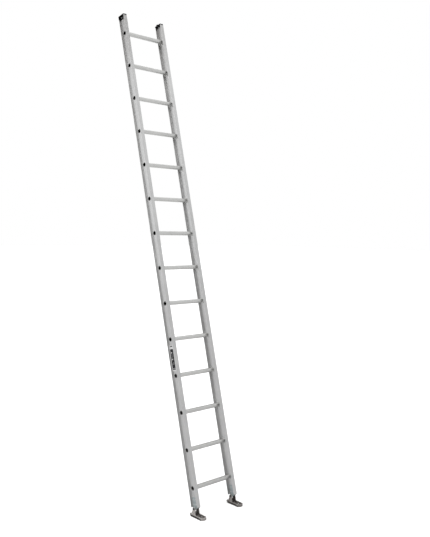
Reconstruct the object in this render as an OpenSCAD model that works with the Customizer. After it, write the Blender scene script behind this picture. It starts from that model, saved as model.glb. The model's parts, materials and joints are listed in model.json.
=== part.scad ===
// Straight aluminium ladder: two I-beam rails, hollow D-shaped rungs swaged through the webs, plastic
// end caps at the top, and cast swivel shoes with ribbed rubber pads at the bottom. It stands at its
// working lean, its soles flat on the floor, with the wall on the +Y side and the climber on the -Y side.
// X runs along the rungs. The origin is on the floor, midway between the two shoes, under their bolts.
// A rail is drawn upright about its shoe's bolt, the web's middle at x = 0 and +X pointing away from
// the ladder, and each left-hand piece is the mirror image of the right-hand one.

/* [Ladder] */
// Lean from the vertical, in degrees
lean_angle = 14.5; // [10:0.5:20]
// Distance between the middles of the two rail webs
web_spacing = 420; // [360:5:520]
// Number of rungs
rung_count = 14; // [8:1:16]
// Distance from one rung's axis to the next
rung_pitch = 304.8; // [280:0.1:330]
// Lower end of a rail to the lowest rung's axis
rail_below_rungs = 150; // [136:1:200]
// Highest rung's axis to the upper end of a rail
rail_above_rungs = 160.8; // [120:0.1:220]

/* [Rail] */
// Depth of the rail, from its front face to its back face
rail_depth = 76; // [72:1:90]
// Thickness of the web
web_t = 2.5; // [2:0.1:4]
// Thickness of the flanges
flange_t = 3; // [2.5:0.1:4]
// Reach of the flanges beyond the web towards the rungs
flange_in = 19.5; // [16:0.5:24]
// Reach of the flanges beyond the web away from the rungs
flange_out = 13.5; // [12:0.5:18]
// Height of the thickened bead along each flange edge, beyond the flange's own thickness
bead_h = 1.1; // [0.5:0.1:2]

/* [Rung] */
// Radius of the rung's rounded underside
rung_r = 17.5; // [16:0.1:20]
// Height of the flat tread above the rung's axis
tread_h = 15.5; // [14:0.1:18]
// Wall thickness of the rung
rung_wall = 1.8; // [1.5:0.1:2]
// Radius of the open bore at each end of the rung
bore_r = 13; // [11:0.1:13]
// Radius of the rung's neck where it passes through the web
neck_r = 15; // [14.5:0.1:16]
// Radius of the swaged collar on the inner face of the web
collar_r = 20.5; // [19:0.1:24]
// Radius of the flared lip on the outer face of the web
flare_r = 18; // [17:0.1:20]
// Number of grip grooves along the tread
groove_count = 6; // [2:1:7]

/* [Shoe] */
// Height of the swivel bolt's axis above the floor
pivot_height = 68.5; // [64:0.5:75]
// Distance from the swivel bolt's axis up to the end of the rail
pivot_drop = 8; // [6:0.5:14]
// Length of the shoe ahead of the bolt, to the tip of the toe
toe_reach = 108; // [95:1:125]
// Length of the shoe behind the bolt, to the tips of its spikes
heel_reach = 49; // [45:1:60]
// Width of the shoe across its sole
shoe_w = 57; // [55:1:66]
// Thickness of the rubber pad
pad_t = 10; // [7:0.5:10]
// Distance from one rib of the pad to the next
rib_pitch = 14; // [12:0.5:18]
// Height of the shoe's rim above the floor
rim_top = 22; // [19:1:25]

/* [End cap] */
// Thickness of the cap above the rail, half-way between its front and its back
cap_t = 9; // [8:0.5:14]
// Slope of the cap's top, which makes it thicker on the side that meets the wall, in degrees
cap_slope = 2; // [0:0.5:6]
// Length of the cap's skirt down the outside of the web
skirt_h = 23; // [22:1:60]
// Height of the cap's lug above the rail's end, at the lug's back
lug_h = 20; // [19:1:28]

/* [Hidden] */
$fn = 64;
eps = 0.01;
// Clearance of a neck, shank or spacer in a hole of its own body
hole_gap = 0.05;
// Radial clearance between a shoe's ear and its bolt
swivel_gap = 0.08;
// Clearance between a shoe's bosses and the washers and spacers beside them
side_gap = 0.3;

// Rail, seen along its length
web_in = -web_t / 2;
web_out = web_t / 2;
flange_lo = web_in - flange_in;
flange_hi = web_out + flange_out;
flange_mid = (flange_lo + flange_hi) / 2;
half_depth = rail_depth / 2;
flange_inner = half_depth - flange_t;
fillet_r = 2.5;
edge_r = 1.2;
bead_w = 4;
rung_span = rung_pitch * (rung_count - 1);
rail_len = rail_below_rungs + rung_span + rail_above_rungs;
first_rung_z = pivot_drop + rail_below_rungs;
rail_top_z = pivot_drop + rail_len;

// Rung
collar_t = 5;
flare_t = 1.3;
mouth_r = bore_r + 3.5;
mouth_depth = 1.8;
tread_corner_r = 5;
groove_w = 1.3;
groove_d = 0.7;
groove_pitch = 3.8;
half_rung = web_spacing / 2 + web_in;
lip_end = web_t + flare_t;

// Foot bracket plates
plate_t = 2.5;
plate_w = 52;
plate_up = 78;
plate_corner_r = 5;
plate_lug_r = 12;
tab_w = 11;
tab_reach = 8;
rivet_r = 3.2;
rivet_head_r = 6;
rivet_head_h = 2.2;
foot_rivets = [[-15, 22], [15, 22], [-15, 60], [15, 60]];

// Swivel bolt and what it carries
bolt_r = 5;
bolt_head_r = 9;
bolt_head_h = 6;
// Chamfer of a hexagon's corners, and of the bolt's end, along the bolt's axis
hex_chamfer = 0.8;
tail_chamfer = 0.8;
washer_r = 10;
washer_t = 2;
nut_h = 9;
nut_collar_h = 2.5;
nut_collar_r = 7;
bolt_tail = 3;
spacer_r = 8;

// Shoe: its bosses run from boss_lo to boss_hi on each side of the middle of the flanges
boss_lo = 15.9;
boss_hi = 23;
boss_r = 12.5;
ear_tilt = 6.5;
ear_flare = 2.5;
ear_hollow_r = 10;
wall_t = 5;
sole_t = 5;
ear_bottom = pad_t + wall_t * tan(ear_tilt);
floor_top = pad_t + sole_t;
half_shoe = shoe_w / 2;
toe_round_r = 36;
toe_straight = toe_reach - toe_round_r + sqrt(pow(toe_round_r, 2) - pow(half_shoe, 2));
toe_bottom = 2.5;
heel_start = 34;
ear_back = 24;
heel_corner_w = 11;
heel_corner_h = 5;
heel_slope = 3;
ear_back_slope = 1;
ear_round_start = 15;
round_steps = 12;
hollow_steps = 6;
heel_end = heel_reach - 5;
heel_bottom = pad_t + 4;
heel_top = 30;
spike_count = 3;
rib_w = 4;
rib_h = 4;
rivet_boss_r = 7;
pad_toe_gap = 1;
pad_front = pad_toe_gap - toe_straight;
pad_half_w = half_shoe - 0.4;
rib_gap = 4.5;
rib_depth = 3;
pad_rivets = [-72, 6];
pad_rivet_r = 3;
pad_head_r = 5.5;
pad_head_h = 1.5;
pad_dome_h = 2;
pad_head_gap = 0.5;

// End cap
cap_lip = 2;
cap_front_r = 8;
cap_back_r = 4;
cap_round_r = 2;
cap_gap = 0.1;
skirt_t = 3;
skirt_half_w = flange_inner - fillet_r - cap_gap;
skirt_reach = 9.5;
bead_y = flange_inner - bead_h - cap_gap;
// Window in the skirt and the rivet behind it, as distances [towards the back, below the rail's end]
window_front = -23;
window_back = -2;
window_top = 7.5;
window_bottom = 17.5;
window_r = 3.5;
cap_rivet_y = 10;
cap_rivet_d = 12.5;
// Lug on the cap's inner side
lug_w = 15;
lug_front = -6;
lug_back = 18;
// The lug's top is level at the working lean
lug_front_h = lug_h - (lug_back - lug_front) * tan(lean_angle);
lug_round_r = 2.5;
cap_rivet_r = 2.4;
cap_rivet_head_r = 5;
cap_rivet_head_h = 1.5;
cap_rivet_tail_r = 3.8;
cap_rivet_tail_h = 2;

// Decal on the outside of the left web, a little below the middle between the fourth and fifth rungs
decal_l = 214;
decal_w = 48;
decal_t = 0.3;
decal_corner_r = 4;
decal_pitches = 3.5;
decal_drop = 4;
// Bare web between the decal's back edge and the fillet of the back flange
decal_margin = 2;
decal_y = flange_inner - fillet_r - decal_margin - decal_w / 2;
decal_z = first_rung_z + decal_pitches * rung_pitch - decal_drop;

aluminium = "#bfc0bf";
cast_metal = "#8b857c";
zinc = "#aebabb";
steel = "#8d9092";
black_rubber = "#262523";
black_plastic = "#1c1c1d";
decal_ink = "#33363a";

function rung_name(i) = str("rung_", i < 9 ? "0" : "", i + 1);
SIDE_PARTS = ["rail", "end_cap", "cap_rivet", "outer_foot_plate", "inner_foot_plate", "foot_rivets",
    "pivot_bolt", "pivot_nut", "pivot_washers", "outer_spacer", "inner_spacer", "shoe", "sole_pad",
    "pad_rivets"];

// Points along an arc about [x, y], from angle a to angle b
function arc(x, y, r, a, b, n = 5) =
    [for (i = [0:n]) [x + r * cos(a + (b - a) * i / n), y + r * sin(a + (b - a) * i / n)]];
function flip(points) = [for (i = [len(points) - 1:-1:0]) [points[i].x, -points[i].y]];

// Places upright geometry, drawn about the swivel bolt's axis, at the ladder's lean
module leaning() translate([0, 0, pivot_height]) rotate([-lean_angle, 0, 0]) children();
module on_side(side) mirror([side == "left" ? 1 : 0, 0, 0]) translate([web_spacing / 2, 0, 0]) children();
// A cylinder along +X from x0 to x1
module rod(r, x0, x1) translate([x0, 0, 0]) rotate([0, 90, 0]) cylinder(r = r, h = x1 - x0);
module ring(r, hole, x0, x1) difference() {
    rod(r, x0, x1);
    rod(hole, x0 - 1, x1 + 1);
}
// Turns a profile, drawn as [radius, height], about the X axis, its height along +X from x = 0
module turned() rotate([0, 90, 0]) rotate_extrude() children();
// Extrudes an outline drawn as [y, z] along +X from x0 to x1
module slab(x0, x1) translate([x0, 0, 0]) rotate([90, 0, 90]) linear_extrude(x1 - x0) children();
// A rectangle from [x0, y0] to [x1, y1] with its corners rounded
module rounded(x0, y0, x1, y1, r) {
    translate([x0 + r, y0]) square([x1 - x0 - 2 * r, y1 - y0]);
    translate([x0, y0 + r]) square([x1 - x0, y1 - y0 - 2 * r]);
    for (x = [x0 + r, x1 - r], y = [y0 + r, y1 - r]) translate([x, y]) circle(r);
}

// Half of the rail's section, from the web's outer face round the back flange to the web's inner face
function rail_half() = concat(
    arc(web_out + fillet_r, flange_inner - fillet_r, fillet_r, 180, 90),
    [[flange_hi - bead_w, flange_inner], [flange_hi - bead_w + bead_h, flange_inner - bead_h]],
    arc(flange_hi - edge_r, flange_inner - bead_h + edge_r, edge_r, 270, 360, 3),
    arc(flange_hi - edge_r, half_depth - edge_r, edge_r, 0, 90, 3),
    arc(flange_lo + edge_r, half_depth - edge_r, edge_r, 90, 180, 3),
    arc(flange_lo + edge_r, flange_inner - bead_h + edge_r, edge_r, 180, 270, 3),
    [[flange_lo + bead_w - bead_h, flange_inner - bead_h], [flange_lo + bead_w, flange_inner]],
    arc(web_in - fillet_r, flange_inner - fillet_r, fillet_r, 90, 0));

module rail() color(aluminium) difference() {
    translate([0, 0, pivot_drop]) linear_extrude(rail_len)
        polygon(concat(rail_half(), flip(rail_half())));
    for (i = [0:rung_count - 1]) translate([0, 0, first_rung_z + i * rung_pitch])
        rod(neck_r + hole_gap, -web_t, web_t);
    for (p = foot_rivets) translate([0, p.x, pivot_drop + p.y]) rod(rivet_r + hole_gap, -web_t, web_t);
    translate([0, cap_rivet_y, rail_top_z - cap_rivet_d]) rod(cap_rivet_r + hole_gap, -web_t, web_t);
}

// The rung's section: y is its height. Walls inset by t give the hollow inside.
module d_section(t) {
    r = rung_r - t;
    top = tread_h - t;
    corner = tread_corner_r - t;
    circle(r);
    translate([-r, 0]) square([2 * r, top - corner]);
    translate([corner - r, 0]) square([2 * (r - corner), top]);
    for (side = [-1, 1]) translate([side * (r - corner), top - corner]) circle(corner);
}

module tread_section() difference() {
    d_section(0);
    d_section(rung_wall);
    for (i = [0:groove_count - 1])
        translate([(i - (groove_count - 1) / 2) * groove_pitch - groove_w / 2, tread_h - groove_d])
            square([groove_w, 2 * groove_d]);
}

// Collar, neck and flared lip at one end, drawn from the web's inner face (x = 0) outwards,
// with a bore that widens at its mouth
module rung_end() turned() difference() {
    union() {
        translate([0, -collar_t]) square([collar_r - collar_t / 2, collar_t]);
        translate([collar_r - collar_t / 2, -collar_t / 2]) circle(collar_t / 2);
        square([neck_r, web_t]);
        translate([0, web_t]) square([flare_r - flare_t, flare_t]);
        intersection() {
            translate([flare_r - flare_t, web_t]) circle(flare_t);
            translate([0, web_t]) square([flare_r, flare_t]);
        }
    }
    translate([0, -collar_t - 1]) square([bore_r, collar_t + web_t + flare_t + 2]);
    polygon([[0, lip_end - mouth_depth], [bore_r, lip_end - mouth_depth], [mouth_r, lip_end],
        [mouth_r, lip_end + 1], [0, lip_end + 1]]);
}

// The tread is level at the working lean, so the section turns back by the lean
module rung(i) color(aluminium) translate([0, 0, first_rung_z + i * rung_pitch]) {
    tube_end = half_rung - collar_t + eps;
    rotate([lean_angle, 0, 0]) slab(-tube_end, tube_end) tread_section();
    for (side = [0, 1]) mirror([side, 0, 0]) translate([half_rung, 0, 0]) rung_end();
}

// Plate with a tapering lug for the swivel bolt, and a bent tab each side of it under the rail's end
module foot_plate() color(zinc) difference() {
    union() {
        slab(0, plate_t) {
            rounded(-plate_w / 2, pivot_drop, plate_w / 2, pivot_drop + plate_up, plate_corner_r);
            translate([-plate_w / 2, pivot_drop]) square([plate_w, 2 * plate_corner_r]);
            translate([-plate_lug_r, 0]) square([2 * plate_lug_r, pivot_drop]);
            circle(plate_lug_r);
        }
        for (y = [-plate_w / 2, plate_w / 2 - tab_w]) translate([0, y, pivot_drop - plate_t])
            cube([tab_reach, tab_w, plate_t]);
    }
    rod(bolt_r + hole_gap, -1, plate_t + 1);
    for (p = foot_rivets) translate([0, p.x, pivot_drop + p.y]) rod(rivet_r + hole_gap, -1, plate_t + 1);
}
module outer_foot_plate() translate([web_out, 0, 0]) foot_plate();
module inner_foot_plate() translate([web_in, 0, 0]) mirror([1, 0, 0]) foot_plate();

// A domed rivet head, its flat side at x = 0
module rivet_head(r, h) {
    dome_r = (r * r + h * h) / (2 * h);
    turned() intersection() {
        translate([0, h - dome_r]) circle(dome_r);
        square([r, h]);
    }
}

module foot_rivets() color(zinc) for (p = foot_rivets) translate([0, p.x, pivot_drop + p.y]) {
    face = web_out + plate_t;
    rod(rivet_r, -face - eps, face + eps);
    for (side = [0, 1]) mirror([side, 0, 0]) translate([face, 0, 0]) rivet_head(rivet_head_r, rivet_head_h);
}

// The bolt's head and washer sit outside the outer boss, its nut and washer outside the inner boss
head_x = flange_mid + boss_hi + side_gap + washer_t;
nut_x = flange_mid - boss_hi - side_gap - washer_t;

// A hexagon along +X from x = 0, with chamfered corners at its far end
module hexagon(h) intersection() {
    rotate([0, 90, 0]) cylinder(r = bolt_head_r, h = h, $fn = 6);
    turned() polygon([[0, 0], [bolt_head_r, 0], [bolt_head_r, h - hex_chamfer],
        [bolt_head_r - hex_chamfer * tan(60), h], [0, h]]);
}

module pivot_bolt() color(steel) {
    tail_x = nut_x - nut_h - bolt_tail;
    translate([tail_x, 0, 0]) turned() polygon([[0, 0], [bolt_r - tail_chamfer, 0],
        [bolt_r, tail_chamfer], [bolt_r, head_x - tail_x + eps], [0, head_x - tail_x + eps]]);
    translate([head_x, 0, 0]) hexagon(bolt_head_h);
}

// Locknut: a hexagon with a round collar that holds its nylon ring
module pivot_nut() color(steel) difference() {
    union() {
        translate([nut_x, 0, 0]) mirror([1, 0, 0]) hexagon(nut_h - nut_collar_h);
        rod(nut_collar_r, nut_x - nut_h, nut_x - nut_h + nut_collar_h + eps);
    }
    rod(bolt_r + hole_gap, nut_x - nut_h - 1, nut_x + 1);
}

module pivot_washers() color(zinc) {
    ring(washer_r, bolt_r + hole_gap, head_x - washer_t, head_x);
    ring(washer_r, bolt_r + hole_gap, nut_x, nut_x + washer_t);
}

module outer_spacer() color(zinc)
    ring(spacer_r, bolt_r + hole_gap, web_out + plate_t, flange_mid + boss_lo - side_gap);
module inner_spacer() color(zinc)
    ring(spacer_r, bolt_r + hole_gap, flange_mid - boss_lo + side_gap, web_in - plate_t);

// The shoe's shapes are drawn about the bolt's axis, with the floor at z = -pivot_height
ground = -pivot_height;

ear_front = -boss_r - ear_flare - ear_hollow_r;

// Ear beside the bolt, as [y, z]: round top, sloping back edge, hollow curve down to the rim in front
module ear_outline() polygon(concat(
    [[ear_front, ground + ear_bottom], [ear_back, ground + ear_bottom],
        [ear_back - ear_back_slope, ground + heel_top]],
    arc(0, 0, boss_r, ear_round_start, 180, round_steps),
    arc(ear_front, ground + rim_top + ear_hollow_r, ear_hollow_r, 0, -90, hollow_steps)));

// Upright rim along one side, from the toe to the upturned heel, as [y, z]
module rim_outline() polygon([[-toe_straight, ground + pad_t], [heel_start, ground + pad_t],
    [heel_end, ground + heel_bottom], [heel_end - heel_slope, ground + heel_top - heel_corner_h],
    [heel_end - heel_corner_w, ground + heel_top], [boss_r, ground + heel_top],
    [-boss_r, ground + rim_top], [-toe_straight, ground + rim_top]]);

// Outline of the sole seen from above, inset by t
module sole_outline(t) intersection() {
    translate([t - half_shoe, -toe_reach + t]) square([shoe_w - 2 * t, toe_reach + heel_end - t]);
    translate([0, toe_round_r - toe_reach]) {
        circle(toe_round_r - t);
        translate([-shoe_w, 0]) square([2 * shoe_w, toe_reach + heel_end]);
    }
}

module toe_rim() intersection() {
    translate([0, 0, ground + toe_bottom]) linear_extrude(rim_top - toe_bottom) difference() {
        sole_outline(0);
        sole_outline(wall_t);
    }
    translate([-shoe_w, -2 * toe_reach, ground])
        cube([2 * shoe_w, 2 * toe_reach - toe_straight + eps, pivot_height]);
}

module shoe_side() {
    translate([half_shoe - wall_t, 0, 0]) slab(0, wall_t) rim_outline();
    translate([half_shoe, 0, ground + pad_t]) rotate([0, -ear_tilt, 0])
        translate([-wall_t, 0, -ground - pad_t]) slab(0, wall_t) ear_outline();
    rod(boss_r, boss_lo, boss_hi);
}

module shoe_casting() {
    spike_w = shoe_w / (2 * spike_count);
    translate([0, 0, ground + pad_t]) linear_extrude(sole_t) sole_outline(0);
    toe_rim();
    for (side = [0, 1]) mirror([side, 0, 0]) shoe_side();
    // rib along the middle of the tray, with a boss round each pad rivet
    translate([-rib_w / 2, -toe_reach + wall_t - eps, ground + floor_top - eps])
        cube([rib_w, toe_reach - wall_t + ear_back, rib_h + eps]);
    for (y = pad_rivets) translate([0, y, ground + floor_top - eps])
        cylinder(r = rivet_boss_r, h = rib_h + eps);
    // row of spikes along the heel's edge
    for (i = [0:spike_count - 1]) translate([(2 * i + 1) * spike_w - half_shoe, 0, ground + pad_t])
        linear_extrude(sole_t)
            polygon([[-spike_w, heel_end - eps], [spike_w, heel_end - eps], [0, heel_reach]]);
}

module shoe() color(cast_metal) translate([flange_mid, 0, pivot_height]) difference() {
    shoe_casting();
    rod(bolt_r + swivel_gap, -shoe_w, shoe_w);
    for (y = pad_rivets) translate([0, y, ground]) cylinder(r = pad_rivet_r + hole_gap, h = rim_top + 1);
}

// Rubber pad with ribs across it, and a recess round each rivet's lower head
module sole_pad() color(black_rubber) translate([flange_mid, 0, 0]) difference() {
    translate([-pad_half_w, pad_front, 0]) cube([2 * pad_half_w, heel_start - pad_front, pad_t]);
    for (y = [pad_front + rib_pitch - rib_gap:rib_pitch:heel_start - rib_gap])
        translate([-shoe_w, y, -1]) cube([2 * shoe_w, rib_gap, rib_depth + 1]);
    for (y = pad_rivets) translate([0, y, -1]) {
        cylinder(r = pad_rivet_r + hole_gap, h = pad_t + 2);
        cylinder(r = pad_head_r + pad_head_gap, h = rib_depth + 1);
    }
}

// Each pad rivet has a flat head in the pad's recess and a domed head on its boss in the tray
module pad_rivets() color(zinc) for (y = pad_rivets) translate([flange_mid, y, 0]) {
    top = floor_top + rib_h;
    translate([0, 0, rib_depth - pad_head_h]) cylinder(r = pad_head_r, h = pad_head_h);
    translate([0, 0, rib_depth - eps]) cylinder(r = pad_rivet_r, h = top - rib_depth + 2 * eps);
    translate([0, 0, top]) rotate([0, -90, 0]) rivet_head(pad_head_r, pad_dome_h);
}

// Outline of the end cap seen from above, inset by t, with rounder corners in front
module cap_outline(t) {
    inner = flange_lo - cap_lip + t;
    outer = flange_hi + cap_lip - t;
    rounded(inner, -half_depth - cap_lip + t, outer, half_depth, cap_front_r);
    rounded(inner, -half_depth / 2, outer, half_depth + cap_lip - t, cap_back_r);
}

// Outline of the skirt seen from above: a pan against the web, and a wall over the back flange's edge
module skirt_outline() difference() {
    union() {
        translate([web_out, -skirt_half_w]) square([skirt_reach, 2 * skirt_half_w]);
        translate([web_out + fillet_r + cap_gap, skirt_half_w - skirt_t])
            square([flange_hi + cap_lip - web_out - fillet_r - cap_gap, half_depth - skirt_half_w + skirt_t]);
    }
    translate([web_out, bead_y]) square([flange_hi + cap_gap - web_out, half_depth + cap_gap - bead_y]);
}

// Lug on the cap's inner side, as [y, z] above the rail's end
module lug_outline() hull() {
    translate([lug_front, 0]) square([lug_back - lug_front, eps]);
    translate([lug_front + lug_round_r, lug_front_h - lug_round_r]) circle(lug_round_r);
    translate([lug_back - lug_round_r, lug_h - lug_round_r]) circle(lug_round_r);
}

// Cap with a sloping top and rounded edges, a lug on top, and a skirt with a raised border and a window
module end_cap() color(black_plastic) translate([0, 0, rail_top_z]) difference() {
    union() {
        hull() {
            linear_extrude(eps) cap_outline(0, $fn = 32);
            translate([0, 0, cap_t - cap_round_r])
                multmatrix([[1, 0, 0, 0], [0, 1, 0, 0], [0, tan(cap_slope), 1, 0]]) for (a = [0:15:90])
                    linear_extrude(cap_round_r * sin(a) + eps)
                        cap_outline(cap_round_r * (1 - cos(a)), $fn = 32);
        }
        slab(flange_lo, flange_lo + lug_w) lug_outline();
        translate([0, 0, -skirt_h]) linear_extrude(skirt_h + eps) skirt_outline();
    }
    translate([web_out + skirt_t, skirt_t - skirt_half_w, skirt_t - skirt_h])
        cube([rail_depth, 2 * (skirt_half_w - skirt_t), skirt_h - skirt_t]);
    slab(0, web_out + 2 * skirt_t)
        rounded(window_front, -window_bottom, window_back, -window_top, window_r);
    translate([0, cap_rivet_y, -cap_rivet_d]) rod(cap_rivet_r + hole_gap, 0, web_out + 2 * skirt_t);
}

// Blind rivet: a domed head on the skirt and a smaller one on the web's inner face
module cap_rivet() color(steel) translate([0, cap_rivet_y, rail_top_z - cap_rivet_d]) {
    rod(cap_rivet_r, web_in - eps, web_out + skirt_t + eps);
    translate([web_out + skirt_t, 0, 0]) rivet_head(cap_rivet_head_r, cap_rivet_head_h);
    translate([web_in, 0, 0]) mirror([1, 0, 0]) rivet_head(cap_rivet_tail_r, cap_rivet_tail_h);
}

// Plain decal, without any lettering, on the outside of the web
module rail_decal() color(decal_ink) translate([web_out, decal_y, decal_z]) slab(0, decal_t)
    rounded(-decal_w / 2, -decal_l / 2, decal_w / 2, decal_l / 2, decal_corner_r);

for (side = ["left", "right"]) {
    on_side(side) leaning() rail();
    on_side(side) leaning() end_cap();
    on_side(side) leaning() cap_rivet();
    on_side(side) leaning() outer_foot_plate();
    on_side(side) leaning() inner_foot_plate();
    on_side(side) leaning() foot_rivets();
    on_side(side) leaning() pivot_bolt();
    on_side(side) leaning() pivot_nut();
    on_side(side) leaning() pivot_washers();
    on_side(side) leaning() outer_spacer();
    on_side(side) leaning() inner_spacer();
    on_side(side) shoe();
    on_side(side) sole_pad();
    on_side(side) pad_rivets();
}
for (i = [0:rung_count - 1]) leaning() rung(i);
on_side("left") leaning() rail_decal();
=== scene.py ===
import json
import math

import bpy
from mathutils import Matrix, Vector


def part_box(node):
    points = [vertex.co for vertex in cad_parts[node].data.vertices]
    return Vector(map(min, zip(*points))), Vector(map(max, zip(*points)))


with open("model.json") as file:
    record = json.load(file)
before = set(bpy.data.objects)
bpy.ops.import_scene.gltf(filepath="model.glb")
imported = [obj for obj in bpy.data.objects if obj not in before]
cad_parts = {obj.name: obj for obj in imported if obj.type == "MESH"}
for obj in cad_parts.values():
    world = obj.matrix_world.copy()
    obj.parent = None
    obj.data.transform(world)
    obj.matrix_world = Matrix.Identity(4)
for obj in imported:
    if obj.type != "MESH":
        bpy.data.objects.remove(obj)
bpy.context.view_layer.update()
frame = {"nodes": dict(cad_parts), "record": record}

RECORD = frame["record"]
MOUNTS = {mount["name"]: mount for mount in RECORD["mounts"]}
NODES = frame["nodes"]

# The ladder's lean, from the way its back flanges face
WALL_NORMAL = MOUNTS["left_wall_face"]["axis"]
LEAN = math.atan2(-WALL_NORMAL[2], WALL_NORMAL[1])
STAND_UPRIGHT = Matrix.Rotation(LEAN, 3, "X")


def box_corners(name):
    """The low and the high corner of a piece's box, in metres."""
    return tuple(Vector(painted_corner_shade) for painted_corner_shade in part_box(name))


# ---------------------------------------------------------------- camera

SENSOR = 36.0
LENS = 45.27
CLIP_NEAR, CLIP_FAR = 0.05, 500
CAMERA_PLACE = Vector((-3.768, -4.003, 2.3045))
CAMERA_AZIMUTH = math.radians(-43.0)
CAMERA_DOWN = math.radians(3.1)
CAMERA_ROLL = math.radians(0.824)


def way_back(azimuth, height):
    """Direction from the ladder to a camera or light. Azimuth 0 is in front of it, on the -Y side."""
    flat = math.cos(height)
    return Vector((math.sin(azimuth) * flat, -math.cos(azimuth) * flat, math.sin(height)))


def make_camera():
    """A camera above head height, left of the ladder and in front of it, looking slightly down."""
    back = way_back(CAMERA_AZIMUTH, CAMERA_DOWN)
    right = Vector((math.cos(CAMERA_AZIMUTH), math.sin(CAMERA_AZIMUTH), 0))
    up = back.cross(right)
    turned_right = right * math.cos(CAMERA_ROLL) + up * math.sin(CAMERA_ROLL)
    turned_up = up * math.cos(CAMERA_ROLL) - right * math.sin(CAMERA_ROLL)
    data = bpy.data.cameras.new("camera")
    data.sensor_width = SENSOR
    data.lens = LENS
    data.clip_start, data.clip_end = CLIP_NEAR, CLIP_FAR
    camera = bpy.data.objects.new("camera", data)
    axes = Matrix((turned_right, turned_up, back)).transposed().to_4x4()
    camera.matrix_world = Matrix.Translation(CAMERA_PLACE) @ axes
    bpy.context.scene.collection.objects.link(camera)
    bpy.context.scene.camera = camera


# ---------------------------------------------------------------- light and floor

WHITE = (1, 1, 1, 1)
DOME_LOW = (0.70, 0.705, 0.71, 1)
DOME_BAND = (0.86, 0.86, 0.86, 1)
DOME_HIGH = (0.80, 0.80, 0.80, 1)
# Sine of the height at which the dome has its band, and at which it reaches its upper colour
BAND_HEIGHT, HIGH_HEIGHT = 0.3, 0.9
SIDE_WAY = (-0.78, 0.62, 0.06)
SIDE_GLOW = 0.85
# Cosine of the angle from SIDE_WAY at which the glow begins
SIDE_EDGE = 0.55

FLOOR_HALF = 80
FLOOR_SEEN = (0.9, 0.9, 0.9, 1)
FLOOR_BOUNCE = (0.62, 0.62, 0.62, 1)
FLOOR_LIFT = 0.25


def camera_switch(tree, for_light, for_camera):
    """Output of a shader mix that shows one shader to the camera and the other to all other rays."""
    path = tree.nodes.new("ShaderNodeLightPath")
    mix = tree.nodes.new("ShaderNodeMixShader")
    tree.links.new(path.outputs["Is Camera Ray"], mix.inputs["Fac"])
    tree.links.new(for_light.outputs[0], mix.inputs[1])
    tree.links.new(for_camera.outputs[0], mix.inputs[2])
    return mix.outputs[0]


def make_world():
    """A soft studio dome, brighter to the ladder's left, and white where the camera sees it."""
    world = bpy.data.worlds.new("studio")
    world.use_nodes = True
    tree = world.node_tree
    tree.nodes.clear()
    output = tree.nodes.new("ShaderNodeOutputWorld")
    place = tree.nodes.new("ShaderNodeTexCoord")
    split = tree.nodes.new("ShaderNodeSeparateXYZ")
    ramp = tree.nodes.new("ShaderNodeValToRGB")
    low, high = ramp.color_ramp.elements
    band = ramp.color_ramp.elements.new(BAND_HEIGHT)
    low.position, high.position = 0.0, HIGH_HEIGHT
    low.color, band.color, high.color = DOME_LOW, DOME_BAND, DOME_HIGH
    facing = tree.nodes.new("ShaderNodeVectorMath")
    facing.operation = "DOT_PRODUCT"
    facing.inputs[1].default_value = SIDE_WAY
    glow = tree.nodes.new("ShaderNodeMapRange")
    glow.inputs["From Min"].default_value = SIDE_EDGE
    glow.inputs["From Max"].default_value = 1.0
    glow.inputs["To Min"].default_value = 1.0
    glow.inputs["To Max"].default_value = 1.0 + SIDE_GLOW
    dome = tree.nodes.new("ShaderNodeBackground")
    backdrop = tree.nodes.new("ShaderNodeBackground")
    backdrop.inputs["Color"].default_value = WHITE
    tree.links.new(place.outputs["Generated"], split.inputs[0])
    tree.links.new(split.outputs["Z"], ramp.inputs["Fac"])
    tree.links.new(ramp.outputs["Color"], dome.inputs["Color"])
    tree.links.new(place.outputs["Generated"], facing.inputs[0])
    tree.links.new(facing.outputs["Value"], glow.inputs["Value"])
    tree.links.new(glow.outputs["Result"], dome.inputs["Strength"])
    tree.links.new(camera_switch(tree, dome, backdrop), output.inputs["Surface"])
    bpy.context.scene.world = world


def make_sun(name, azimuth, height, strength, softness):
    """A broad soft light, with its angles in degrees. Azimuth 0 shines from in front of the ladder."""
    data = bpy.data.lights.new(name, "SUN")
    data.energy = strength
    data.angle = math.radians(softness)
    sun = bpy.data.objects.new(name, data)
    source = way_back(math.radians(azimuth), math.radians(height))
    sun.rotation_mode = "QUATERNION"
    sun.rotation_quaternion = source.to_track_quat("Z", "Y")
    bpy.context.scene.collection.objects.link(sun)


def make_floor():
    """A pale floor, white to the camera and greyer to the light that bounces off it."""
    mesh = bpy.data.meshes.new("floor")
    near, far = -FLOOR_HALF, FLOOR_HALF
    mesh.from_pydata([(near, near, 0), (far, near, 0), (far, far, 0), (near, far, 0)], [], [(0, 1, 2, 3)])
    floor = bpy.data.objects.new("floor", mesh)
    paint = bpy.data.materials.new("floor_paint")
    paint.use_nodes = True
    tree = paint.node_tree
    seen = tree.nodes["Principled BSDF"]
    seen.inputs["Base Color"].default_value = FLOOR_SEEN
    seen.inputs["Roughness"].default_value = 0.9
    seen.inputs["Specular IOR Level"].default_value = 0.1
    seen.inputs["Emission Color"].default_value = WHITE
    seen.inputs["Emission Strength"].default_value = FLOOR_LIFT
    bounced = tree.nodes.new("ShaderNodeBsdfDiffuse")
    bounced.inputs["Color"].default_value = FLOOR_BOUNCE
    tree.links.new(camera_switch(tree, bounced, seen), tree.nodes["Material Output"].inputs["Surface"])
    mesh.materials.append(paint)
    bpy.context.scene.collection.objects.link(floor)


# ---------------------------------------------------------------- node calls for the materials

EDGE_SAMPLES = 6
# Cosine of the turn between a face and its rounded edge, where wear starts and where it is full
EDGE_FLAT, EDGE_SHARP = 0.985, 0.90


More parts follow.
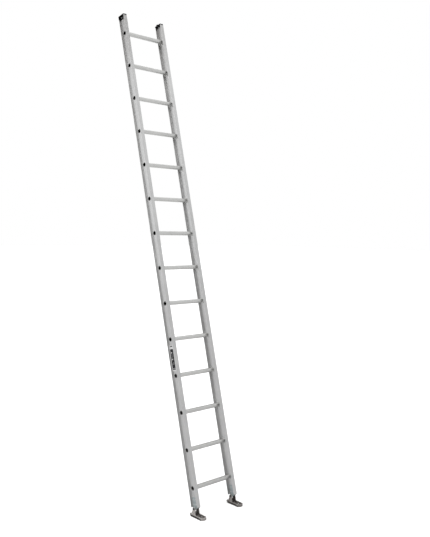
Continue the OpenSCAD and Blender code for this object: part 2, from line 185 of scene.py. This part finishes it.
class Recipe:
    """A Principled material and short calls for the nodes in front of it."""

    def __init__(self, name, metallic, roughness, specular=None):
        self.material = bpy.data.materials.new(name)
        self.material.use_nodes = True
        self.tree = self.material.node_tree
        self.shader = self.tree.nodes["Principled BSDF"]
        self.shader.inputs["Metallic"].default_value = metallic
        self.shader.inputs["Roughness"].default_value = roughness
        if specular is not None:
            self.shader.inputs["Specular IOR Level"].default_value = specular

    def node(self, kind, inputs=(), **settings):
        """A shader node of the given kind, with its inputs set or linked and its settings made."""
        made = self.tree.nodes.new("ShaderNode" + kind)
        for key, value in settings.items():
            setattr(made, key, value)
        for key, value in dict(inputs).items():
            if isinstance(value, bpy.types.NodeSocket):
                self.tree.links.new(value, made.inputs[key])
            else:
                made.inputs[key].default_value = value
        return made

    # Places

    def place(self):
        """Place in the shared frame, in metres, which stays with the piece when a joint moves."""
        return self.node("TexCoord").outputs["Object"]

    def turned(self, place, angles):
        return self.node("Mapping", {"Vector": place, "Rotation": angles}).outputs[0]

    def upright(self):
        """Place turned about X, so that the rails' long axis is Z."""
        return self.turned(self.place(), (LEAN, 0, 0))

    def stretched(self, place, scale):
        return self.node("Mapping", {"Vector": place, "Scale": scale}).outputs[0]

    def split(self, vector):
        parts = self.node("SeparateXYZ", {0: vector}).outputs
        return parts[0], parts[1], parts[2]

    def from_middle(self, size):
        """Distances along X, Y and Z from the middle of the piece's box, which has the given size."""
        shares = self.split(self.node("TexCoord").outputs["Generated"])
        return [self.times(self.minus(share, 0.5), length) for share, length in zip(shares, size)]

    # Numbers

    def maths(self, operation, a, b=0):
        return self.node("Math", {0: a, 1: b}, operation=operation).outputs[0]

    def plus(self, a, b):
        return self.maths("ADD", a, b)

    def minus(self, a, b):
        return self.maths("SUBTRACT", a, b)

    def times(self, a, b):
        return self.maths("MULTIPLY", a, b)

    def larger(self, a, b):
        return self.maths("MAXIMUM", a, b)

    def above(self, a, b):
        """1 where a is greater than b, and 0 elsewhere."""
        return self.maths("GREATER_THAN", a, b)

    def below(self, a, b):
        """1 where a is less than b, and 0 elsewhere."""
        return self.maths("LESS_THAN", a, b)

    def unsigned(self, a):
        return self.maths("ABSOLUTE", a)

    def radius(self, a, b):
        """Distance from the axis, for distances a and b across it."""
        return self.maths("SQRT", self.plus(self.times(a, a), self.times(b, b)))

    def spread(self, value, low, high, to_low=0, to_high=1):
        """A value from low..high carried to to_low..to_high, and held at the ends."""
        made = self.node("MapRange", {"Value": value, "From Min": low, "From Max": high,
                                      "To Min": to_low, "To Max": to_high})
        return made.outputs["Result"]

    # Patterns

    def noise(self, place, scale=1.0, detail=4.0, rough=0.55):
        made = self.node("TexNoise", {"Vector": place, "Scale": scale, "Detail": detail, "Roughness": rough})
        return made.outputs["Fac"]

    def edges(self, radius, strength):
        """The strength along sharp edges, within about the given radius, and 0 on flat faces."""
        rounded = self.node("Bevel", {"Radius": radius}, samples=EDGE_SAMPLES).outputs[0]
        flat = self.node("NewGeometry").outputs["Normal"]
        match = self.node("VectorMath", {0: rounded, 1: flat}, operation="DOT_PRODUCT").outputs["Value"]
        return self.spread(match, EDGE_FLAT, EDGE_SHARP, 0, strength)

    # What the shader is given

    def colours(self, fac, first, second):
        """The first colour where fac is 0, and the second where it is 1."""
        made = self.node("Mix", data_type="RGBA")
        self.tree.links.new(fac, made.inputs[0])
        for socket, colour in ((made.inputs[6], first), (made.inputs[7], second)):
            if isinstance(colour, bpy.types.NodeSocket):
                self.tree.links.new(colour, socket)
            else:
                socket.default_value = (*colour, 1)
        return made.outputs[2]

    def bump(self, height, depth, after=None):
        """A normal for relief of the given depth in metres, on top of another bump if one is given."""
        inputs = {"Height": height, "Distance": depth, "Strength": 1.0}
        if after is not None:
            inputs["Normal"] = after
        return self.node("Bump", inputs).outputs["Normal"]

    def set(self, **sockets):
        """Links the finished colour, roughness and normal to the shader, and gives the material."""
        names = {"colour": "Base Color", "roughness": "Roughness", "normal": "Normal"}
        for key, value in sockets.items():
            self.tree.links.new(value, self.shader.inputs[names[key]])
        return self.material


# ---------------------------------------------------------------- aluminium of the rails, rungs and rivets

SCUFF_PALE = (0.78, 0.78, 0.77)
SPECK_DARK = (0.22, 0.21, 0.20)
SCUFF_TURN = (0.5, 0.9, 0.4)
SCUFF_STRETCH = (900, 60, 60)

RAIL_DARK, RAIL_LIGHT = (0.53, 0.53, 0.53), (0.665, 0.665, 0.66)
# Darker colour towards the rails' upper end, which on the webs and the left rail is painted shade
RAIL_TOP_DARKENING = (0.36, 0.355, 0.35)
# Painted shade along the back flange's corner
RAIL_CORNER_SHADE = (0.23, 0.222, 0.215)
# The web ends just short of the flanges, this far from its middle, in metres
WEB_HALF = 0.0345
# Distances behind the web's middle over which the painted shade of the back corner grows
BACK_CORNER = (0.030, WEB_HALF)
# Distances down from the rails' upper end, in metres, over which two darkenings fade, and how
# strong each is above them. The first darkens the rails towards the upper end; the second is painted
# shade on the webs and on the whole left rail.
END_DARKENING_SPAN, END_DARKENING = (0.05, 0.60), 0.8
UPPER_SHADE_SPAN, UPPER_SHADE = (0.2, 1.8), 0.5

RUNG_DARK, RUNG_LIGHT = (0.63, 0.63, 0.62), (0.765, 0.765, 0.75)
# Painted shade: the lip at the rungs' tips, and the tube's inside where no light reaches
LIP_SHADE = (0.26, 0.255, 0.25)
UNLIT = (0.006, 0.006, 0.006)
TREAD_DULL = (0.30, 0.29, 0.27)
STEPPED_DULL = (0.40, 0.39, 0.385)
# Heights above the floor, in metres, over which the dullness of the lower rungs fades
STEPPED_ON = (0.2, 1.9)
# Lengths of a rung's swaged end and of the lip at its tip, in metres
RUNG_END = 0.0095
LIP_END = 0.0014
# Reach of a rung's inside from its middle, and the tread's inner face above the middle
TUBE_INSIDE = 0.0167
TREAD_INSIDE = 0.0142

RIVET_DARK, RIVET_LIGHT = (0.42, 0.42, 0.42), (0.62, 0.62, 0.61)


def aluminium(r, place, across, lengthwise, dark, light):
    """Mill-finish aluminium: fine die lines along the piece, cloudy patches, short scuffs and specks."""
    lines = r.noise(r.stretched(place, (across, across, lengthwise)), detail=7, rough=0.65)
    clouds = r.noise(place, scale=6.0, detail=4)
    blotches = r.noise(place, scale=38.0, detail=4, rough=0.6)
    grain = r.noise(place, scale=1400.0, detail=2)
    scuff_field = r.noise(r.stretched(r.turned(place, SCUFF_TURN), SCUFF_STRETCH), detail=3)
    scuff_field = r.times(scuff_field, r.spread(blotches, 0.4, 0.65, 0.6, 1.1))
    scuffs = r.spread(scuff_field, 0.60, 0.70)
    specks = r.spread(r.noise(place, scale=320.0, detail=3), 0.68, 0.76)
    tone = r.plus(r.times(lines, 0.55), r.plus(r.times(clouds, 0.25), r.times(blotches, 0.2)))
    colour = r.colours(r.spread(tone, 0.36, 0.64), dark, light)
    colour = r.colours(r.times(scuffs, 0.5), colour, SCUFF_PALE)
    colour = r.colours(r.times(specks, 0.35), colour, SPECK_DARK)
    rough = r.plus(r.spread(clouds, 0.3, 0.7, 0.37, 0.46), r.spread(lines, 0.3, 0.7, -0.05, 0.05))
    rough = r.plus(rough, r.times(scuffs, 0.12))
    height = r.minus(lines, r.times(scuffs, 0.6))
    normal = r.bump(height, depth=0.00005, after=r.bump(grain, depth=0.00001))
    return colour, rough, normal


def rail_aluminium():
    """Aluminium darker towards the top, with painted shade on the webs and the left rail up there, and
    painted shade along the corner of the back flange.
    """
    r = Recipe("rail_aluminium", metallic=1.0, roughness=0.42)
    place = r.upright()
    colour, rough, normal = aluminium(r, place, 260, 2.5, RAIL_DARK, RAIL_LIGHT)
    low, high = box_corners("left_rail")
    sideways, behind, height = r.split(place)
    behind = r.minus(behind, (STAND_UPRIGHT @ ((low + high) / 2)).y)
    from_end = r.minus((STAND_UPRIGHT @ high).z, height)
    # Darker towards the upper end, and over a longer reach painted shade on the webs and the whole left rail
    dark_near_end = r.spread(from_end, *END_DARKENING_SPAN, END_DARKENING, 0)
    painted_upper_shade = r.spread(from_end, *UPPER_SHADE_SPAN, UPPER_SHADE, 0)
    on_web = r.below(r.unsigned(behind), WEB_HALF)
    web_or_left = r.larger(on_web, r.below(sideways, 0))
    patches = r.spread(r.noise(place, scale=70.0, detail=5, rough=0.7), 0.38, 0.60, 0.35, 1.0)
    top_darkening_and_shade = r.times(r.plus(dark_near_end, r.times(painted_upper_shade, web_or_left)), patches)
    colour = r.colours(top_darkening_and_shade, colour, RAIL_TOP_DARKENING)
    streak_field = r.noise(r.stretched(place, (90, 90, 9)), detail=5, rough=0.65)
    streaks = r.spread(streak_field, 0.38, 0.62, 0.25, 1.0)
    # Painted shade in the back flange's corner, in streaks
    painted_corner_shade = r.times(r.spread(behind, *BACK_CORNER, 0, 0.42), streaks)
    colour = r.colours(painted_corner_shade, colour, RAIL_CORNER_SHADE)
    return r.set(colour=colour, roughness=rough, normal=normal)


def rung_aluminium():
    """Aluminium with a worn tread, duller on the lower rungs, painted shade inside the tube, where no light
    reaches, and painted shade on the lip at its ends.
    """
    r = Recipe("rung_aluminium", metallic=1.0, roughness=0.42)
    place = r.turned(r.place(), (0, math.pi / 2, 0))
    colour, rough, normal = aluminium(r, place, 300, 4.0, RUNG_DARK, RUNG_LIGHT)
    low, high = box_corners("rung_01")
    size = high - low
    x, y, z = r.from_middle(size)
    along = r.unsigned(x)
    # Painted shade on the lip at each tip, so the flared mouth reads dark
    painted_lip_shade = r.times(r.above(along, size.x / 2 - LIP_END), 0.6)
    colour = r.colours(painted_lip_shade, colour, LIP_SHADE)
    # Painted shade: the tube's inside and the bore of the swaged ends, black
    at_end = r.above(along, size.x / 2 - RUNG_END)
    under_tread = r.larger(at_end, r.below(z, TREAD_INSIDE))
    shaded_inside = r.times(r.below(r.radius(y, z), TUBE_INSIDE), under_tread)
    colour = r.colours(shaded_inside, colour, UNLIT)
    tread = r.times(r.spread(z, TREAD_INSIDE, TREAD_INSIDE + 0.001),
                    r.spread(r.noise(place, scale=55.0, detail=5, rough=0.65), 0.42, 0.62))
    colour = r.colours(r.times(tread, 0.35), colour, TREAD_DULL)
    stepped = r.times(r.spread(r.split(r.place())[2], *STEPPED_ON, 0.42, 0),
                      r.spread(r.noise(place, scale=24.0), 0.35, 0.6, 0.6, 1))
    colour = r.colours(stepped, colour, STEPPED_DULL)
    rough = r.plus(rough, r.times(tread, 0.08))
    return r.set(colour=colour, roughness=rough, normal=normal)


def rivet_aluminium():
    """Rivet heads: rings from the heading tool and worn patches."""
    r = Recipe("rivet_aluminium", metallic=1.0, roughness=0.4)
    place = r.place()
    wear = r.noise(place, scale=260.0, detail=5)
    rings = r.noise(r.stretched(place, (2400, 500, 500)), detail=3)
    colour = r.colours(r.spread(wear, 0.38, 0.62), RIVET_DARK, RIVET_LIGHT)
    rough = r.spread(wear, 0.3, 0.7, 0.30, 0.50)
    return r.set(colour=colour, roughness=rough, normal=r.bump(rings, depth=0.00002))


# ---------------------------------------------------------------- steel of the foot plates and bolts

ZINC_DARK, ZINC_LIGHT = (0.37, 0.425, 0.435), (0.48, 0.52, 0.525)
ZINC_STAIN = (0.30, 0.33, 0.335)
ZINC_SCRATCH = (0.60, 0.63, 0.63)
STEEL_DARK, STEEL_LIGHT = (0.055, 0.054, 0.052), (0.13, 0.13, 0.13)
STEEL_EDGE = (0.34, 0.34, 0.33)


def zinc_plate():
    """Zinc plating: faint crystal patches, a cool cast, dull stains and fine scratches."""
    r = Recipe("zinc_plate", metallic=1.0, roughness=0.38)
    place = r.upright()
    warp = r.times(r.noise(place, scale=90.0, detail=3), 0.006)
    shift = r.node("CombineXYZ", {0: warp}).outputs[0]
    shifted = r.node("VectorMath", {0: place, 1: shift}, operation="ADD").outputs[0]
    crystals = r.node("TexVoronoi", {"Vector": shifted, "Scale": 210.0}).outputs["Color"]
    patch = r.split(crystals)[0]
    stains = r.noise(place, scale=32.0, detail=5, rough=0.6)
    scratch_field = r.noise(r.stretched(r.turned(place, (0.7, 0.2, 0.3)), (60, 1500, 90)), detail=3)
    scratches = r.spread(scratch_field, 0.62, 0.70)
    colour = r.colours(r.spread(patch, 0, 1, 0.2, 0.8), ZINC_DARK, ZINC_LIGHT)
    colour = r.colours(r.spread(stains, 0.50, 0.68, 0, 0.7), colour, ZINC_STAIN)
    colour = r.colours(r.times(scratches, 0.5), colour, ZINC_SCRATCH)
    rough = r.plus(r.spread(stains, 0.3, 0.7, 0.32, 0.52), r.spread(patch, 0, 1, -0.04, 0.04))
    grain = r.noise(place, scale=700.0, detail=3)
    return r.set(colour=colour, roughness=rough, normal=r.bump(grain, depth=0.00002))


def bolt_steel():
    """Dark blackened steel with tool marks and edges rubbed grey."""
    r = Recipe("bolt_steel", metallic=1.0, roughness=0.42)
    place = r.place()
    stains = r.noise(place, scale=150.0, detail=5, rough=0.6)
    tool_marks = r.noise(r.stretched(place, (1800, 300, 300)), detail=3)
    colour = r.colours(r.spread(stains, 0.38, 0.62), STEEL_DARK, STEEL_LIGHT)
    colour = r.colours(r.edges(radius=0.0006, strength=0.7), colour, STEEL_EDGE)
    rough = r.spread(stains, 0.3, 0.7, 0.34, 0.55)
    return r.set(colour=colour, roughness=rough, normal=r.bump(tool_marks, depth=0.00003))


# ---------------------------------------------------------------- cast shoes

SHOE_DARK, SHOE_LIGHT = (0.345, 0.322, 0.308), (0.505, 0.480, 0.463)
PIT_DARK = (0.10, 0.09, 0.08)
RIGHT_SHOE_DARK = (0.085, 0.073, 0.066)
LOW_SIDE_DARK = (0.045, 0.040, 0.036)
# Painted shade in the tray between the ears
TRAY_SHADE = (0.052, 0.041, 0.036)
# Painted highlight on the rim's top
RIM_TOP_HIGHLIGHT = (0.66, 0.637, 0.622)
EDGE_BRIGHT = (0.72, 0.71, 0.69)
# The ears' inner faces lean in: distance from the shoe's middle at the floor, in metres, and slope
EARS_INSIDE = 0.0249
EAR_SLOPE = math.tan(math.radians(6.5))
# Centre of the toe's round, and the reach of the tray within it
TOE_CENTRE_Y = -0.072
TOE_INSIDE = 0.0312
# Height of the tray's rim above the floor, and heights between which the darker band low on the sides ends
RIM_TOP = 0.022
LOW_SIDE_TOP = (0.0125, 0.019)
# Places along Y over which the tray's painted shade grows towards the heel
TRAY_SHADE_Y = (-0.045, -0.012)
# Places along X over which the left shoe's light darkening becomes the right one's, which is heavier
LEFT_TO_RIGHT = (-0.1, 0.1)
DARKENING_LEFT, DARKENING_RIGHT = 0.08, 0.72


def cast_shoe():
    """Sand-cast metal: a pebbled skin, edges rubbed bright, painted shade in the tray between the ears, a
    painted highlight on the rim's top, sides darker near the floor, and the right shoe darker.
    """
    r = Recipe("cast_shoe", metallic=0.75, roughness=0.55)
    place = r.place()
    low, high = box_corners("left_shoe")
    middle = (low + high) / 2
    x, y, z = r.from_middle(high - low)
    height = r.plus(z, middle.z)
    clouds = r.noise(place, scale=45.0, detail=5, rough=0.6)
    sand = r.noise(place, scale=850.0, detail=4, rough=0.6)
    pits = r.spread(r.noise(place, scale=420.0, detail=2), 0.66, 0.74)

    inner_face = r.minus(EARS_INSIDE, r.times(height, EAR_SLOPE))
    between_ears = r.spread(r.minus(inner_face, r.unsigned(x)), -0.0002, 0.0002)
    past_centre = r.larger(r.minus(TOE_CENTRE_Y - middle.y, y), 0)
    shaded_inside = r.times(between_ears, r.below(r.radius(x, past_centre), TOE_INSIDE))
    # Painted shade in the tray between the ears, deeper towards the heel
    growth = r.spread(r.plus(y, middle.y), *TRAY_SHADE_Y, 0.68, 0.97)
    painted_tray_shade = r.times(shaded_inside, r.times(growth, r.spread(clouds, 0.35, 0.62, 1.05, 0.78)))
    # Sides darker along their lowest part, near the floor
    low_side_dark = r.times(r.spread(height, *LOW_SIDE_TOP, 1, 0), r.spread(clouds, 0.3, 0.55, 0.75, 1.0))
    low_side_dark = r.times(low_side_dark, r.spread(past_centre, 0, 0.006, 1, 0))
    # Darker towards the right shoe, in cloudy patches
    right_darkening = r.times(r.spread(r.split(place)[0], *LEFT_TO_RIGHT, DARKENING_LEFT, DARKENING_RIGHT),
                   r.spread(clouds, 0.35, 0.6, 1, 0.65))
    # Painted highlight along the upward faces at the rim's top
    upward = r.spread(r.split(r.node("TexCoord").outputs["Normal"])[2], 0.8, 0.95)
    painted_rim_highlight = r.times(upward, r.spread(height, RIM_TOP - 0.0008, RIM_TOP - 0.0004))
    painted_rim_highlight = r.times(painted_rim_highlight, r.spread(r.noise(place, scale=110.0, detail=4), 0.36, 0.56, 0.25, 0.95))
    painted_rim_highlight = r.minus(painted_rim_highlight, r.times(right_darkening, 0.45))
    worn_edges = r.times(r.edges(radius=0.0012, strength=1.0),
                         r.spread(r.noise(place, scale=160.0, detail=4), 0.35, 0.55, 0.35, 1.0))
    worn_edges = r.times(worn_edges, r.spread(height, 0.011, 0.017, 0.1, 1))

    colour = r.colours(r.spread(clouds, 0.36, 0.64), SHOE_DARK, SHOE_LIGHT)
    colour = r.colours(r.times(pits, 0.5), colour, PIT_DARK)
    colour = r.colours(right_darkening, colour, RIGHT_SHOE_DARK)
    colour = r.colours(low_side_dark, colour, LOW_SIDE_DARK)
    colour = r.colours(painted_tray_shade, colour, TRAY_SHADE)
    colour = r.colours(painted_rim_highlight, colour, RIM_TOP_HIGHLIGHT)
    colour = r.colours(worn_edges, colour, EDGE_BRIGHT)
    rough = r.plus(r.spread(clouds, 0.3, 0.7, 0.48, 0.62), r.times(painted_tray_shade, 0.25))
    rough = r.minus(rough, r.times(worn_edges, 0.15))
    relief = r.minus(sand, r.times(pits, 0.8))
    normal = r.bump(relief, depth=0.00022, after=r.bump(clouds, depth=0.0005))
    return r.set(colour=colour, roughness=rough, normal=normal)


# ---------------------------------------------------------------- rubber pads and plastic caps

RUBBER_DARK, RUBBER_DUSTY = (0.010, 0.010, 0.0095), (0.035, 0.032, 0.028)
RUBBER_EDGE = (0.075, 0.07, 0.062)
PLASTIC_DARK, PLASTIC_DULL = (0.004, 0.004, 0.0042), (0.009, 0.009, 0.0093)
PLASTIC_EDGE = (0.022, 0.022, 0.022)


def black_rubber():
    """Rubber with a fine skin, dust in cloudy patches and edges scuffed paler."""
    r = Recipe("black_rubber", metallic=0.0, roughness=0.8, specular=0.3)
    place = r.place()
    dust = r.noise(place, scale=70.0, detail=5, rough=0.65)
    skin = r.noise(place, scale=1600.0, detail=3)
    worn_edges = r.times(r.edges(radius=0.0006, strength=0.6), r.spread(dust, 0.4, 0.6, 0.2, 1))
    colour = r.colours(r.spread(dust, 0.42, 0.66), RUBBER_DARK, RUBBER_DUSTY)
    colour = r.colours(worn_edges, colour, RUBBER_EDGE)
    rough = r.spread(dust, 0.3, 0.7, 0.72, 0.92)
    return r.set(colour=colour, roughness=rough, normal=r.bump(skin, depth=0.00004))


def black_plastic():
    """Moulded plastic: a fine leathery skin, dulled patches, edges rubbed a little paler."""
    r = Recipe("black_plastic", metallic=0.0, roughness=0.5, specular=0.08)
    place = r.upright()
    cells = r.node("TexVoronoi", {"Vector": place, "Scale": 1100.0}).outputs["Distance"]
    dulled = r.noise(place, scale=60.0, detail=5, rough=0.6)
    worn_edges = r.times(r.edges(radius=0.0008, strength=0.6), r.spread(dulled, 0.4, 0.6, 0.2, 1))
    colour = r.colours(r.spread(dulled, 0.4, 0.65), PLASTIC_DARK, PLASTIC_DULL)
    colour = r.colours(worn_edges, colour, PLASTIC_EDGE)
    rough = r.spread(dulled, 0.3, 0.7, 0.42, 0.62)
    return r.set(colour=colour, roughness=rough, normal=r.bump(cells, depth=0.00006))


# ---------------------------------------------------------------- decal

INK_DARK, INK_WORN = (0.014, 0.014, 0.016), (0.028, 0.028, 0.031)
FILM_PALE, FILM_WORN = (0.68, 0.68, 0.68), (0.58, 0.58, 0.58)
# Rectangles as first and last place across the film, then along it, in metres from the film's middle
DARK_PANEL = (-0.0195, 0.0195, -0.0975, 0.0755)
DARK_DASH = (-0.0165, 0.0155, 0.0930, 0.1015)
PALE_SPOT = (-0.001, 0.010, 0.040, 0.050)
PALE_STEM = (0.0015, 0.0035, 0.004, 0.040)
PALE_BLOCK = (-0.0015, 0.0095, -0.0165, -0.005)
SHORT_BAR = (-0.0125, 0.0055, -0.0415, -0.040)
LONG_BAR = (-0.0125, 0.0155, -0.0505, -0.0485)
PANEL_GAP = (-0.0195, 0.0195, -0.0875, -0.0850)


def decal_film():
    """Printed film without lettering: a dark panel and a dash, with pale bars and blocks in the panel."""
    r = Recipe("decal_film", metallic=0.0, roughness=0.35, specular=0.15)
    place = r.upright()
    low, high = box_corners("rail_decal")
    centre = STAND_UPRIGHT @ ((low + high) / 2)
    across, length = r.split(place)[1:]
    across = r.minus(across, centre.y)
    length = r.minus(length, centre.z)

    def within(value, start, end):
        return r.times(r.above(value, start), r.below(value, end))

    def any_of(*rectangles):
        mask = None
        for left, right, bottom, top in rectangles:
            patch = r.times(within(across, left, right), within(length, bottom, top))
            mask = patch if mask is None else r.larger(mask, patch)
        return mask

    inked = any_of(DARK_PANEL, DARK_DASH)
    bare = any_of(PALE_SPOT, PALE_STEM, PALE_BLOCK, LONG_BAR, SHORT_BAR, PANEL_GAP)
    printed = r.times(inked, r.minus(1.0, bare))
    scuffs = r.noise(r.stretched(place, (200, 900, 60)), detail=4)
    ink = r.colours(r.spread(scuffs, 0.4, 0.6), INK_DARK, INK_WORN)
    film = r.colours(r.spread(scuffs, 0.4, 0.65), FILM_PALE, FILM_WORN)
    rough = r.spread(r.noise(place, scale=90.0, detail=4), 0.35, 0.65, 0.26, 0.48)
    return r.set(colour=r.colours(printed, film, ink), roughness=rough, normal=r.bump(scuffs, depth=0.00002))


# ---------------------------------------------------------------- the scene

def make_materials():
    """Every finish, under the name of the slot that it is for."""
    makers = (rail_aluminium, rung_aluminium, rivet_aluminium, zinc_plate, bolt_steel, cast_shoe,
              black_rubber, black_plastic, decal_film)
    return {maker.__name__: maker() for maker in makers}


def dress_nodes(materials):
    """Gives every CAD node the finish of its slot in the record."""
    for part in RECORD["subparts"]:
        node = NODES[part["node"]]
        for slot in node.material_slots:
            slot.material = materials[part["material_slot"]]


make_camera()
make_world()
make_sun("key", azimuth=-70, height=50, strength=1.0, softness=50)
make_sun("fill", azimuth=30, height=60, strength=0.5, softness=60)
make_floor()
dress_nodes(make_materials())

scene = bpy.context.scene
scene.view_settings.view_transform = "Standard"
scene.view_settings.look = "None"
